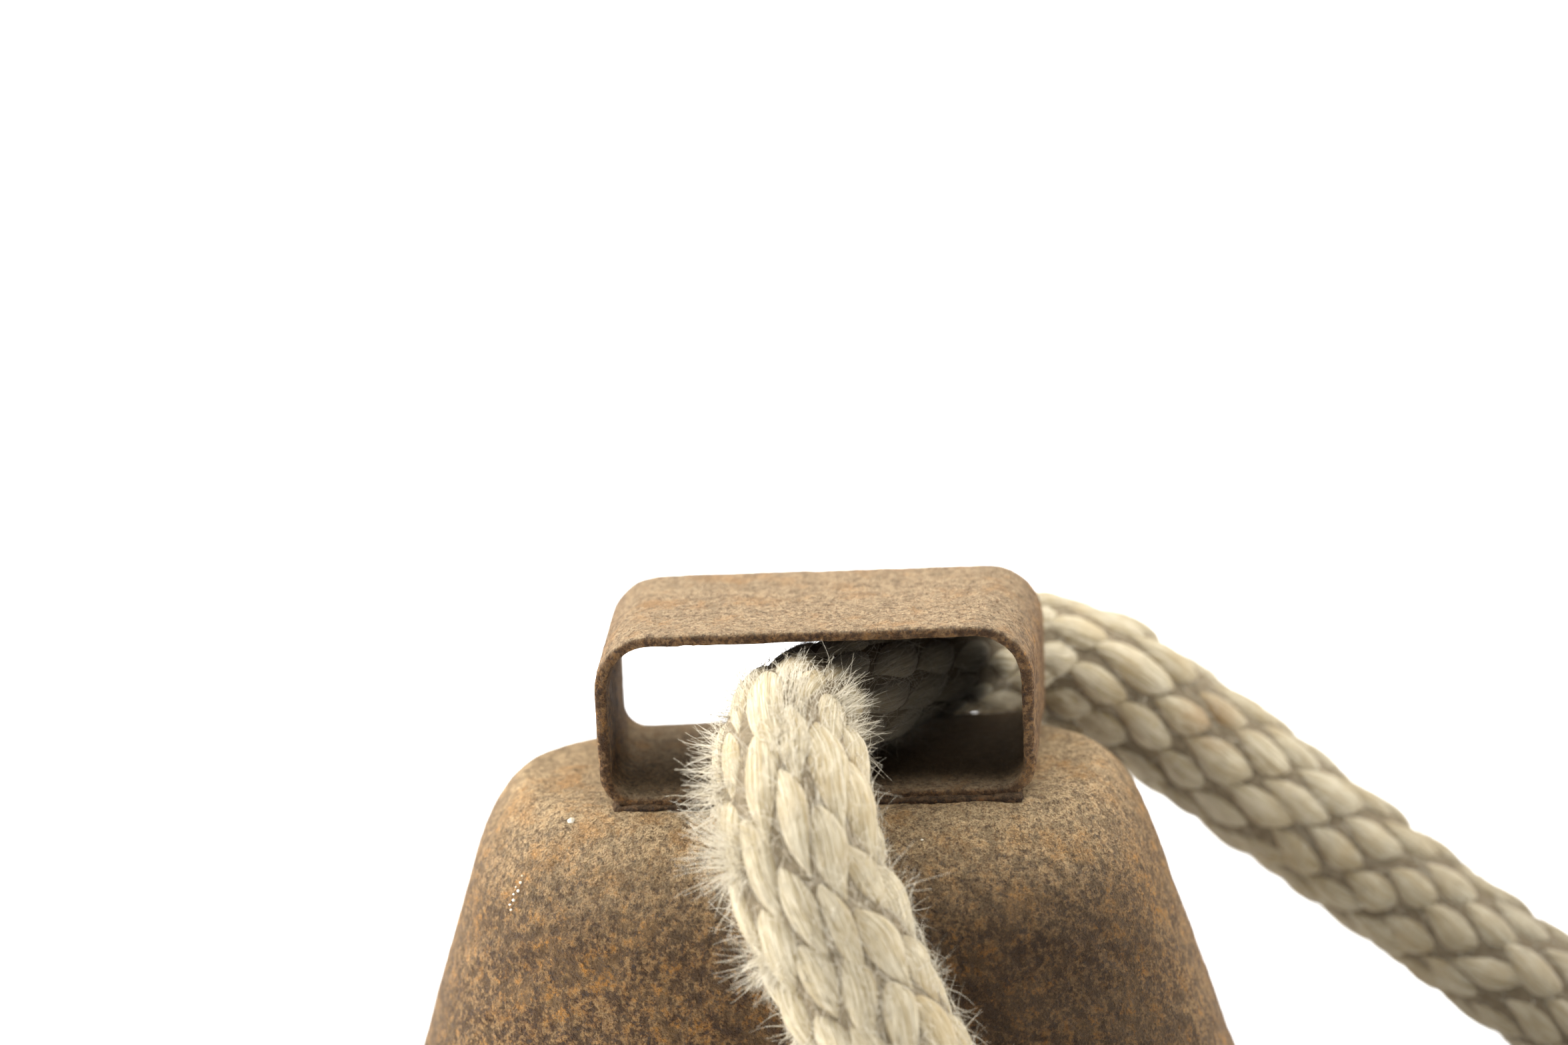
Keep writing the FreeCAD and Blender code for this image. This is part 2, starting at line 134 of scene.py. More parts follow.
def tube_faces(rings, sides, joined):
    """Quads between rings, then either quads that join the last ring to the first or a fan on each end."""
    row = np.arange(rings if joined else rings - 1)[:, None]
    side = np.arange(sides)[None, :]
    following = (side + 1) % sides
    below = (row + 1) % rings
    quads = np.stack([row * sides + side, row * sides + following,
                      below * sides + following, below * sides + side], -1).reshape(-1, 4)
    if joined:
        return quads, np.zeros((0, 3), int)
    side, following = side[0], following[0]
    first, last = rings * sides, rings * sides + 1
    offset = (rings - 1) * sides
    start_fan = np.stack([np.full(sides, first), following, side], -1)
    end_fan = np.stack([np.full(sides, last), offset + side, offset + following], -1)
    return quads, np.concatenate([start_fan, end_fan])


def new_object(name, data):
    made = bpy.data.objects.new(name, data)
    bpy.context.scene.collection.objects.link(made)
    return made


def tube_object(name, tubes, material, joined=False, data=None):
    """One object from K tubes of R rings of N points, in millimetres. data has arrays of the same shape."""
    count, rings, sides, _ = tubes.shape
    quads, fans = tube_faces(rings, sides, joined)
    points = with_tips(tubes, joined)
    step = points.shape[1]
    shift = (np.arange(count) * step)[:, None, None]
    faces = (quads[None] + shift).reshape(-1, 4).tolist() + (fans[None] + shift).reshape(-1, 3).tolist()
    mesh = bpy.data.meshes.new(name)
    mesh.from_pydata((points.reshape(-1, 3) * MM).tolist(), [], faces)
    for key, values in (data or {}).items():
        kind = "FLOAT_VECTOR" if values.ndim == 4 else "FLOAT"
        spread = with_tips(values if values.ndim == 4 else values[..., None], joined)
        attribute = mesh.attributes.new(key, kind, "POINT")
        attribute.data.foreach_set("vector" if kind == "FLOAT_VECTOR" else "value",
                                   spread.astype(np.float32).ravel())
    mesh.shade_smooth()
    mesh.update()
    mesh.materials.append(material)
    return new_object(name, mesh)


def with_tips(values, joined):
    """Flattens (K, R, N, c) to (K, points, c) and adds the middle of each end ring as the fans' tips."""
    count, _, _, width = values.shape
    flat = values.reshape(count, -1, width)
    if joined:
        return flat
    tips = [values[:, end].mean(1, keepdims=True) for end in (0, -1)]
    return np.concatenate([flat] + tips, 1)


def noise_field(points, size, seed):
    """Smooth noise of two octaves, about -1 to 1, at each point. size is the feature size in millimetres."""
    shift = Vector((seed * 17.3, seed * 5.1, seed * 9.7))
    flat = points.reshape(-1, 3) / size
    values = [noise.fractal(Vector(p) + shift, 1.0, 2.0, 2) for p in flat]
    return np.array(values).reshape(points.shape[:-1])


def turns(count):
    """Angles that go once round in even steps."""
    return np.arange(count) / count * FULL_TURN


def unit(vectors):
    return vectors / np.linalg.norm(vectors, axis=-1, keepdims=True)


def fade(low, high, value):
    """0 at low, 1 at high and an even S between them. low may be the larger."""
    t = np.clip((value - low) / (high - low), 0.0, 1.0)
    return t * t * (3.0 - 2.0 * t)


# ---- bell body ----

def arc_share(t):
    t = np.clip(t, 0.0, 1.0)
    return np.sqrt(1.0 - (1.0 - t) ** 2)


def half_size(axis, depth, inset=0.0):
    """Half width (axis 0) or half depth (axis 1) at a depth below the crown, inset by the sheet."""
    down = depth - inset
    swell = SHOULDER_SWELL[axis] - inset * (math.sqrt(1.0 + FLARE[axis] ** 2) - FLARE[axis])
    ease = EASE[axis] * np.maximum(0.0, depth - EASE_FROM) ** 2
    shoulder = swell * arc_share(down / (SHOULDER_DROP[axis] - inset))
    return CROWN_HALF[axis] + shoulder + FLARE[axis] * down - ease


def oval_angles(count):
    """Polar angles that space points evenly along the oval half way down the body."""
    dense = np.linspace(0.0, FULL_TURN, 4001)
    x, y = oval(half_size(0, 45.0), half_size(1, 45.0), dense)
    run = np.concatenate([[0.0], np.cumsum(np.hypot(np.diff(x), np.diff(y)))])
    return np.interp(np.arange(count) / count * run[-1], run, dense)


def oval(a, b, angle):
    c, s = np.cos(angle), np.sin(angle)
    r = (np.abs(c / a) ** OVAL_POWER + np.abs(s / b) ** OVAL_POWER) ** (-1.0 / OVAL_POWER)
    return r * c, r * s


def lap_step(depth, y):
    """Extra half width where the sheet doubles at the side seam, with a slightly wandering edge."""
    flush = BODY_HEIGHT - LAP_TOP
    rise = np.clip((depth - flush) / LAP_TAPER, 0.0, 1.0)
    edge = LAP_HALF_WIDTH + 0.35 * np.sin(depth * 0.21) + 0.2 * np.sin(depth * 0.53)
    return SHEET * rise * (1.0 - fade(edge - 0.5, edge + 0.3, np.abs(y)))


def body_ring(depth, inset, share, angles):
    """One ring of the body's skin. share below 1 draws it in towards the middle of the crown."""
    x, y = oval(half_size(0, depth, inset) * share, half_size(1, depth, inset) * share, angles)
    if inset == 0.0 and share == 1.0:
        x = x + np.sign(x) * lap_step(depth, y)
    return np.stack([x, y, np.full_like(x, BODY_HEIGHT - depth)], -1)


def bell_body(material):
    """The whole sheet as one closed skin: crown, shoulder, wall, rounded rim, and back up the inside."""
    angles = oval_angles(BODY_COLUMNS)
    shares = np.linspace(0.02, 0.97, 22)
    shoulder = SHOULDER_DROP[1] * (1.0 - np.cos(np.linspace(0.0, math.pi / 2.0, 22)))
    wall = np.linspace(SHOULDER_DROP[1] + 0.8, BODY_HEIGHT - 0.5, 98)
    rings = [body_ring(0.0, 0.0, share, angles) for share in shares]
    rings += [body_ring(depth, 0.0, 1.0, angles) for depth in np.concatenate([shoulder, wall])]
    outer_count = len(rings)
    outer_foot = body_ring(BODY_HEIGHT, 0.0, 1.0, angles)
    inner_foot = body_ring(BODY_HEIGHT, SHEET, 1.0, angles)
    rings += [outer_foot * (1.0 - t) + inner_foot * t for t in (0.12, 0.5, 0.88)]
    inner_wall = np.linspace(BODY_HEIGHT - 0.5, SHOULDER_DROP[1], 46)
    inner_reach = SHOULDER_DROP[1] - SHEET
    inner_shoulder = SHEET + inner_reach * (1.0 - np.cos(np.linspace(math.pi / 2.0, 0.0, 12)))
    inner_depths = np.concatenate([inner_wall, inner_shoulder[1:]])
    rings += [body_ring(depth, SHEET, 1.0, angles) for depth in inner_depths]
    rings += [body_ring(SHEET, SHEET, share, angles) for share in (0.8, 0.55, 0.3, 0.04)]
    skin = np.array(rings)

    outward = np.zeros_like(skin)
    outward[..., 0] = skin[..., 0] / 62.0 ** 2
    outward[..., 1] = skin[..., 1] / 36.0 ** 2
    outward[..., 2] = 0.004 + 0.03 * fade(90.0, 98.0, skin[..., 2])
    outward = unit(outward)
    rough = DENTS[0] * noise_field(skin, DENTS[1], 1) + SCALE[0] * noise_field(skin, SCALE[1], 2)
    pits = fade(0.25, 0.7, noise_field(skin, PITS[1], 4))
    fine = GRAIN[0] * noise_field(skin, GRAIN[1], 3) - PITS[0] * pits
    rim = fade(0.5, 6.0, skin[..., 2])
    rough *= rim
    fine[outer_count:] *= 0.5
    skin = skin + outward * (rough + fine * rim)[..., None]
    skin[..., 2] = np.maximum(skin[..., 2], 0.0)
    tone = body_tone(skin)
    # painted shade over the whole inside of the bell
    tone[outer_count:] = INSIDE_SHADE_TONE
    return tube_object("bell_shell", skin[None], material, data={"grime_and_shade": tone[None]})


def body_tone(skin):
    """How dark the outside is: a greasy stain with the rope's painted shadow right of the rope, wear with
    painted shade beside and under it, and darker behind.
    """
    x, y, z = np.moveaxis(skin, -1, 0)
    # a greasy stain and the rope's painted shadow, right of the rope
    oily_and_shade = fade(2.0, 22.0, x) * fade(60.0, 44.0, x) * fade(-8.0, -22.0, y)
    oily_and_shade = oily_and_shade * fade(96.0, 84.0, z)
    # wear and painted shade, beside and under the rope
    rubbed_and_shade = fade(34.0, 6.0, np.abs(x + 0.3 * (z - BODY_HEIGHT) + 4.0)) * fade(-14.0, -22.0, y)
    tone = OILY_AND_SHADE_TONE * oily_and_shade + RUBBED_AND_SHADE_TONE * rubbed_and_shade * fade(97.0, 84.0, z) * (1.0 - oily_and_shade)
    return tone + BACK_TONE * fade(4.0, 18.0, y)


def lime_flecks(material):
    """A few dried white flecks on the shoulder, each a small closed lump sunk into the rust."""
    lumps = []
    for degrees, depth, size in LIME_FLECKS:
        at = body_ring(depth, 0.0, 1.0, np.array([math.radians(degrees)]))[0]
        rise = np.linspace(-1.0, 1.0, 9)[:, None]
        turn = turns(10)[None, :]
        waist = np.sqrt(np.maximum(1.0 - rise ** 2, 0.02))
        heights = np.broadcast_to(rise, (9, 10))
        lump = np.stack([waist * np.cos(turn) * 1.2, waist * np.sin(turn), heights], -1)
        lump *= (1.0 + 0.25 * noise_field(lump + at, 0.6, 31))[..., None]
        lumps.append(at + lump * size)
    return tube_object("lime_flecks", np.array(lumps), material)


# ---- crown strap ----

def rounded_path(x0, x1, height):
    """Points round a rounded rectangle and their outward directions, with even spacing on the straights."""
    z0, z1, foot_r, top_r = BODY_HEIGHT, BODY_HEIGHT + height, STRAP_FOOT_R, STRAP_TOP_R
    arc_points = 14
    corners = [(x1 - foot_r, z0 + foot_r, foot_r, -90), (x1 - top_r, z1 - top_r, top_r, 0),
               (x0 + top_r, z1 - top_r, top_r, 90), (x0 + foot_r, z0 + foot_r, foot_r, 180)]
    places, outs = [], []
    for cx, cz, r, start in corners:
        for step in range(arc_points):
            turn = math.radians(start + 90.0 * step / (arc_points - 1))
            places.append((cx + r * math.cos(turn), cz + r * math.sin(turn)))
            outs.append((math.cos(turn), math.sin(turn)))
    filled_places, filled_outs = [], []
    for i in range(len(places)):
        a, b = np.array(places[i]), np.array(places[(i + 1) % len(places)])
        u, w = np.array(outs[i]), np.array(outs[(i + 1) % len(places)])
        steps = 1 if (i + 1) % arc_points else (60 if i in (arc_points * 2 - 1, arc_points * 4 - 1) else 20)
        for k in range(steps):
            filled_places.append(a + (b - a) * k / steps)
            filled_outs.append(u + (w - u) * k / steps)
    return np.array(filled_places), np.array(filled_outs)


def strap_section():
    """Section of the strap as (depth share, thickness share) pairs round its rounded edges."""
    across = np.linspace(-1.0, 1.0, 40)
    edge = 0.25 * STRAP / STRAP_HALF_DEPTH
    outer = [(t * (1.0 - edge), 0.0) for t in across]
    rear = [(1.0 - 0.3 * edge, 0.12), (1.0, 0.35), (1.0, 0.65), (1.0 - 0.3 * edge, 0.88)]
    inner = [(-t * (1.0 - edge), 1.0) for t in across]
    front = [(-y, 1.0 - t) for y, t in rear]
    return outer + rear + inner + front


def crown_strap(material):
    """Strap-iron loop with worn, pitted edges."""
    front, out = rounded_path(*STRAP_X_FRONT, STRAP_HEIGHT[0])
    rear, _ = rounded_path(*STRAP_X_REAR, STRAP_HEIGHT[1])
    section = strap_section()
    skin = np.zeros((len(front), len(section), 3))
    outward = np.zeros_like(skin)
    for j, (depth, thickness) in enumerate(section):
        share = (depth + 1.0) / 2.0
        place = front * (1.0 - share) + rear * share - out * thickness * STRAP
        skin[:, j, 0], skin[:, j, 2] = place[:, 0], place[:, 1]
        skin[:, j, 1] = depth * STRAP_HALF_DEPTH
        lean = 1.0 - 2.0 * thickness
        outward[:, j, 0], outward[:, j, 2] = out[:, 0] * lean, out[:, 1] * lean
        outward[:, j, 1] = np.sign(depth) * fade(0.93, 1.0, abs(depth)) * 1.5
    outward /= np.linalg.norm(outward, axis=-1, keepdims=True) + 1e-9
    relief = STRAP_DENTS[0] * noise_field(skin, STRAP_DENTS[1], 11)
    relief += STRAP_GRAIN[0] * noise_field(skin, STRAP_GRAIN[1], 12)
    relief -= STRAP_PITS[0] * fade(0.2, 0.7, noise_field(skin, STRAP_PITS[1], 13))
    skin = skin + outward * relief[..., None]
    wander = STRAP_WANDER[0] * noise_field(skin, STRAP_WANDER[1], 14) * np.sign(skin[..., 1])
    skin[..., 1] += wander * fade(0.8, 1.0, np.abs(skin[..., 1]) / STRAP_HALF_DEPTH)
    tone = strap_tone(skin, np.array([pair[1] for pair in section])[None, :])
    return tube_object("strap_loop", skin[None], material, joined=True, data={"grime_and_shade": tone[None]})


def strap_tone(skin, thickness):
    """How dark the strap is: painted shade inside the loop, most of all under the rope, and darker along the
    front edge.
    """
    x, y, z = np.moveaxis(skin, -1, 0)
    inner = fade(0.1, 0.9, thickness) * fade(-13.0, -5.0, y)
    # painted shade inside the loop under the rope
    under_rope = 0.60 * fade(-8.0, 6.0, x) * fade(110.0, 101.0, z)
    under_rope += 0.06 + 0.20 * fade(-23.0, -15.0, x)
    rim = 0.22 * fade(0.05, 0.35, thickness) * (y < -11.5)
    return np.maximum(inner * under_rope, rim)


def foot_crust(material):
    """Rust scale grown along the foot of the strap, as a lumpy closed bead on the crown."""
    x0, x1 = STRAP_X_FRONT[0] + 2.0, STRAP_X_REAR[1] - 2.4
    y = STRAP_HALF_DEPTH + 0.1
    corners = [(x0, -y), (x1 - 1.8, -y), (x1, y), (x0, y)]
    path = []
    for i in range(4):
        a, b = np.array(corners[i]), np.array(corners[(i + 1) % 4])
        steps = int(np.linalg.norm(b - a) / 0.25)
        path += [a + (b - a) * k / steps for k in range(steps)]
    path = np.array(path)
    along = np.roll(path, -1, 0) - np.roll(path, 1, 0)
    along = unit(along)
    across = np.stack([along[:, 1], -along[:, 0]], -1)
    turn = turns(10)
    centre = np.column_stack([path, np.full(len(path), BODY_HEIGHT + 0.1)])
    lumps = noise_field(centre, 1.1, 21) * 0.22 + noise_field(centre, 4.0, 22) * 0.16
    size = np.clip(0.52 + lumps, 0.2, 1.0)
    ring = np.zeros((len(path), len(turn), 3))
    reach = np.cos(turn)[None, :, None] * size[:, None, None] * 1.25
    ring[..., :2] = path[:, None, :] + across[:, None, :] * reach
    ring[..., 2] = BODY_HEIGHT + 0.05 + np.sin(turn)[None, :] * size[:, None]
    ring += 0.08 * noise_field(ring, 0.7, 23)[..., None]
    return tube_object("foot_crust", ring[None], material, joined=True)


# ---- rope centre line ----

def rope_points():
    """The rope's centre line, from its front end on the floor over the strap to its rear end."""
    front_end = [(LAP_X[1], LAP_Y[0], LAP_Z), (106.0, LAP_Y[0], LAP_Z), (LAP_X[0] + 5.0, LAP_Y[0], LAP_Z)]
    climb = [(74.0, -80.9, 10.0), (60.5, -76.4, 11.4), (48.0, -69.0, 16.5), (37.5, -60.5, 26.0),
             (27.5, -51.5, 39.5), (19.5, -44.2, 53.5), (13.2, -39.0, 66.2)]
    on_face = [(8.5, -35.9, 77.0), (5.7, -34.3, 83.4), (3.1, -32.9, 89.6), (0.7, -31.0, 95.6)]
    over_edge = [(-0.7, -27.6, 101.5), (-1.6, -22.6, 105.9), (-2.0, -17.4, 108.3)]
    saddle = [(SADDLE_X + run * math.sin(SADDLE_TURN), run * math.cos(SADDLE_TURN), SADDLE_Z - sag)
              for run, sag in ((-15.3, 0.0), (-5.0, 0.1), (5.0, 0.5), (15.3, 1.5))]
    behind = [(18.4, 18.3, 105.5), (22.7, 22.8, 103.5)]
    descent = [(28.8, 25.9, 101.3), (36.4, 27.0, 98.0), (45.0, 27.6, 91.5), (56.0, 27.4, 82.8),
               (67.0, 26.6, 73.6), (81.3, 22.0, 63.4), (95.5, 14.4, 54.6)]
    far_bend = [(113.0, 4.0, 44.0), (130.0, -7.0, 33.0), (145.0, -20.0, 21.3), (153.0, -34.5, 12.9),
                (151.5, -48.5, 9.2), (142.5, -58.5, 9.1)]
    rear_end = [(LAP_X[1] - 4.0, LAP_Y[1] - 0.1, LAP_Z), (LAP_X[1] - 11.0, LAP_Y[1], LAP_Z),
                (106.0, LAP_Y[1], LAP_Z), (LAP_X[0], LAP_Y[1], LAP_Z)]
    front = front_end + climb + on_face + over_edge
    rear = behind + descent + far_bend + rear_end
    return np.array(front + saddle + rear)


def smooth_curve(points, spacing):
    """Natural cubic spline through the points, sampled at an even spacing."""
    chord = np.concatenate([[0.0], np.cumsum(np.linalg.norm(np.diff(points, axis=0), axis=1))])
    n, h = len(points), np.diff(chord)
    system, right = np.eye(n), np.zeros((n, 3))
    for i in range(1, n - 1):
        system[i, i - 1:i + 2] = h[i - 1], 2.0 * (h[i - 1] + h[i]), h[i]
        right[i] = 6.0 * ((points[i + 1] - points[i]) / h[i] - (points[i] - points[i - 1]) / h[i - 1])
    bend = np.linalg.solve(system, right)
    t = np.linspace(0.0, chord[-1], int(chord[-1] / 0.1))
    k = np.clip(np.searchsorted(chord, t) - 1, 0, n - 2)
    a, b = (chord[k + 1] - t)[:, None], (t - chord[k])[:, None]
    span = h[k][:, None]
    dense = (bend[k] * a ** 3 + bend[k + 1] * b ** 3) / (6.0 * span)
    dense += (points[k] / span - bend[k] * span / 6.0) * a
    dense += (points[k + 1] / span - bend[k + 1] * span / 6.0) * b
    run = np.concatenate([[0.0], np.cumsum(np.linalg.norm(np.diff(dense, axis=0), axis=1))])
    even = np.linspace(0.0, run[-1], int(run[-1] / spacing) + 1)
    return even, np.stack([np.interp(even, run, dense[:, i]) for i in range(3)], -1)


class Rope:
    """Centre line with a frame that doesn't twist, and a section that flattens on the bell's face."""

    def __init__(self):
        self.run, self.centre = smooth_curve(rope_points(), 0.5)
        self.length = self.run[-1]
        self.along = unit(np.gradient(self.centre, self.run, axis=0))
        self.side = self.carried_sides()
        self.up = np.cross(self.along, self.side)
        sideways = np.array([1.0, 0.0, 0.0]) - self.along * self.along[:, :1]
        upward, aside = (sideways * self.up).sum(1), (sideways * self.side).sum(1)
        self.flat_angle = np.unwrap(np.arctan2(upward, aside))
        x, y, z = self.centre.T
        self.flat = fade(-14.0, -22.0, y) * fade(40.0, 66.0, z) * (x < 30.0)
        in_loop = fade(28.0, 21.0, np.abs(y)) * fade(98.0, 102.0, z)
        behind = fade(20.0, 31.0, x) * fade(78.0, 52.0, x) * fade(5.0, 15.0, y)
        self.girth = 1.0 - LOOP_SQUEEZE * in_loop
        self.girth += REAR_SWELL * behind

    def carried_sides(self):
        sides = [np.array([0.0, 1.0, 0.0])]
        for direction in self.along[1:]:
            side = sides[-1] - direction * (sides[-1] @ direction)
            sides.append(side / np.linalg.norm(side))
        return np.array(sides)

    def at(self, table, s):
        return np.stack([np.interp(s, self.run, table[:, i]) for i in range(3)], -1)

    def section(self, s, angle):
        """Radius as a share of the round rope's: flattened on the bell's face, squeezed in the loop."""
        flat = np.interp(s, self.run, self.flat)
        turned = angle - np.interp(s, self.run, self.flat_angle)
        wide, thin = 1.0 + FLAT_WIDER * flat, 1.0 - FLAT_THINNER * flat
        girth = np.interp(s, self.run, self.girth)
        return girth / np.sqrt((np.cos(turned) / wide) ** 2 + (np.sin(turned) / thin) ** 2)

    def out(self, s, angle):
        across, upward = self.at(self.side, s), self.at(self.up, s)
        return np.cos(angle)[..., None] * across + np.sin(angle)[..., None] * upward

    def point(self, s, angle, radius):
        reach = radius * self.section(s, angle)
        return self.at(self.centre, s) + self.out(s, angle) * reach[..., None]

    def nearest_run(self, x, y, z):
        return self.run[np.argmin(np.linalg.norm(self.centre - np.array([x, y, z]), axis=1))]

    def angle_of(self, s, direction):
        """Angle round the rope that faces a direction in the row frame."""
        d = np.array(direction)
        return math.atan2(d @ self.at(self.up, s), d @ self.at(self.side, s))


# ---- rope pieces ----

def stitch_places(rope, start, stop):
    """Run and angle of each stitch between two runs: staggered columns round the rope."""
    places = []
    for column in range(BRAID_COLUMNS):
        phase = (column * COLUMN_SHIFT) % 1.0
        first = int(math.floor(start / STITCH_PITCH - phase)) - 1
        last = int(math.ceil(stop / STITCH_PITCH - phase)) + 1
        for row in range(first, last + 1):
            s = (row + phase) * STITCH_PITCH
            if start <= s < stop and END_MARGIN < s < rope.length - END_MARGIN:
                places.append((s, FULL_TURN * column / BRAID_COLUMNS))
    return np.array(places)


def stitches(rope, material, name, start, stop, half_length, rings, sides):
    """Plump stitches of the braid: blunt towards the rope's rear end, pointed towards its front end."""
    places = stitch_places(rope, start, stop)
    count = len(places)
    u = np.linspace(-1.0, 1.0, rings)[None, :, None]
    turn = turns(sides)[None, None, :]

    def vary(amount):
        return 1.0 + amount * rng.normal(size=(count, 1, 1)).clip(-2.0, 2.0)

    half = half_length * vary(0.08)
    width = STITCH_HALF_WIDTH * vary(0.09)
    tilt = STITCH_TILT + math.radians(6.0) * rng.normal(size=(count, 1, 1))
    crest = ROPE_R * vary(0.018)
    middle = u - STITCH_BLUNT * (1.0 - u ** 2)
    taper = np.maximum(1.0 - middle ** 2, 0.0) ** np.where(middle > 0.0, 0.68, 1.0)
    taper = np.maximum(taper, 0.07)
    depth = STITCH_DEPTH * taper ** 0.8
    top = crest * (0.875 + 0.125 * np.cos(middle * math.pi / 2.0) ** 0.8)
    lateral = width * taper * np.cos(turn)
    radius = top - depth + depth * np.sin(turn) + STITCH_ROLL * taper * np.cos(turn)
    s = places[:, 0][:, None, None] + half * u + 0.35 * rng.normal(size=(count, 1, 1))
    sway = np.tan(tilt) * half * u + 0.3 * np.sin(u * math.pi)
    sideways = sway + lateral + 0.18 * rng.normal(size=(count, 1, 1))
    angle = places[:, 1][:, None, None] + sideways / ROPE_R
    s = np.clip(s, 0.3, rope.length - 0.3)
    s, angle, radius = np.broadcast_arrays(s, angle, radius)
    shade = np.broadcast_to(rng.random((count, 1, 1)), s.shape)
    along, across = np.broadcast_to(half * u, s.shape), np.broadcast_to(lateral, s.shape)
    weave = np.stack([along, across, shade * 40.0], -1)
    bundles = noise_field(weave * np.array([0.22, 1.0, 1.0]), 1.1, 41)
    radius = radius + 0.16 * taper * bundles
    tubes = rope.point(s, angle, radius)
    tubes[..., 2] = np.maximum(tubes[..., 2], 0.1)
    height = (radius / ROPE_R - 0.72) / 0.28
    data = {"weave": weave, "crest": height, "shade": shade, "grime_and_shade": rope_shade_and_grime(tubes)}
    return tube_object(name, tubes, material, data=data)


def rope_shade_and_grime(points):
    """Darkening on the rope: dirt and painted shade where it rubs inside the strap loop, and darker towards
    its far end.
    """
    x, y, z = np.moveaxis(points, -1, 0)
    # dirt and painted shade inside the strap loop
    in_loop = fade(-13.0, -9.5, y + 0.19 * x) * fade(15.5, 9.5, y) * fade(96.0, 99.0, z)
    trailing = 0.13 * fade(30.0, 46.0, x) + 0.38 * fade(46.0, 110.0, x)
    return np.maximum(0.86 * in_loop, trailing)


def rope_core(rope, material):
    """The solid middle of the rope, seen only between stitches and at the cut ends. Its colour, darker than
    the braid's, is painted shade between the stitches.
    """
    s = np.linspace(0.0, rope.length, int(rope.length / 1.5))[:, None]
    angle = turns(32)[None, :]
    s, angle = np.broadcast_arrays(s, angle)
    skin = rope.point(s, angle, np.full(s.shape, ROPE_R * CORE_SHARE))[None]
    return tube_object("rope_core", skin, material, data={"grime_and_shade": rope_shade_and_grime(skin)})


def fibre_tubes(starts, directions, lengths, curls, radius):
    """Thin curved fibres as closed three-sided tubes that taper to their tips."""
    count = len(starts)
    t = np.linspace(0.0, 1.0, FIBRE_RINGS)[None, :, None]
    length = lengths[:, None, None]
    bend = np.cross(directions, rng.normal(size=(count, 3)))
    bend = unit(bend)
    wave = np.cross(directions, bend)
    curl = curls[:, None, None]
    ripple = np.sin(t * rng.uniform(3.0, 7.0, (count, 1, 1))) * 0.10
    path = starts[:, None] + directions[:, None] * length * t
    path = path + bend[:, None] * length * curl * t ** 2 + wave[:, None] * length * curl * ripple
    turn = turns(FIBRE_SIDES)[None, :, None]
    ring = bend[:, None, :] * np.cos(turn) + wave[:, None, :] * np.sin(turn)
    thick = (radius * (1.0 - 0.75 * t))[..., None]
    tubes = path[:, :, None, :] + ring[:, None] * thick
    tubes[..., 2] = np.maximum(tubes[..., 2], 0.05)
    return tubes


def flyaways(rope, material, name, count, start, stop, longest, lift, radius):
    """Loose hairs of the braid. A low lift lays them down as a nap."""
    s = rng.uniform(start, stop, count)
    angle = rng.uniform(0.0, FULL_TURN, count)
    roots = rope.point(s, angle, np.full(count, ROPE_R * 0.97))
    out, along = rope.out(s, angle), rope.at(rope.along, s)
    lean = np.where(rng.random((count, 1)) < 0.5, -1.0, 1.0) * rng.uniform(0.3, 1.2, (count, 1))
    around = np.cross(out, along) * rng.normal(size=(count, 1)) * 0.45
    direction = out * lift * rng.uniform(0.3, 1.0, (count, 1)) + along * lean + around
    direction = unit(direction)
    lengths = longest * rng.uniform(0.25, 1.0, count) ** 1.5
    tubes = fibre_tubes(roots, direction, lengths, rng.normal(size=count) * 0.45, radius)
    return tube_object(name, tubes, material, data={"grime_and_shade": rope_shade_and_grime(tubes)})


def tufts(name, rope, places, material):
    """Brushes of broken fibre, one for each row of places."""
    groups = []
    for x, y, z, facing, lean, count, length in places:
        s0 = rope.nearest_run(x, y, z)
        angle0 = rope.angle_of(s0, facing)
        s = s0 + rng.normal(size=count) * (1.1 if count > 15 else 2.5)
        angle = angle0 + rng.normal(size=count) * 0.17
        roots = rope.point(s, angle, np.full(count, ROPE_R * 0.90))
        out, along = rope.out(s, angle), rope.at(rope.along, s)
        fan = (s - s0)[:, None] * along * 0.28
        spread = rng.normal(size=(count, 3)) * 0.20
        direction = out + along * lean + fan + spread
        direction = unit(direction)
        lengths = length * rng.uniform(0.35, 1.1, count)
        groups.append(fibre_tubes(roots, direction, lengths, rng.normal(size=count) * 0.32, 0.055))
    tubes = np.concatenate(groups)
    return tube_object(name, tubes, material, data={"grime_and_shade": 0.8 * rope_shade_and_grime(tubes)})


def end_brush(name, rope, at_start, material):
    """Cut fibres that stand out of a rope end."""
    count = 420
    s = np.full(count, 0.4 if at_start else rope.length - 0.4)
    angle = rng.uniform(0.0, FULL_TURN, count)
    roots = rope.point(s, angle, ROPE_R * 0.93 * np.sqrt(rng.random(count)))
    along = rope.at(rope.along, s) * (-1.0 if at_start else 1.0)
    direction = along + rope.out(s, angle) * 0.25 + rng.normal(size=(count, 3)) * 0.22
    direction = unit(direction)
    tubes = fibre_tubes(roots, direction, rng.uniform(1.2, 3.2, count), rng.normal(size=count) * 0.3, 0.16)
    return tube_object(name, tubes, material)


# ---- twine ----

def stadium_path(share, radius):
    """Point and outward direction round both rope ends, in Y and Z."""
    straight = LAP_Y[1] - LAP_Y[0]
    bow = math.pi * radius
    run = (share % 1.0) * 2.0 * (straight + bow)
    if run < straight:
        return LAP_Y[0] + run, LAP_Z + radius, 0.0, 1.0
    run -= straight
    if run < bow:
        turn = math.pi / 2.0 - run / radius
        return bow_point(LAP_Y[1], radius, turn)
    run -= bow
    if run < straight:
        return LAP_Y[1] - run, LAP_Z - radius, 0.0, -1.0
    turn = -math.pi / 2.0 - (run - straight) / radius
    return bow_point(LAP_Y[0], radius, turn)


def bow_point(y, radius, turn):
    c, s = math.cos(turn), math.sin(turn)
    return y + radius * c, LAP_Z + radius * s, c, s


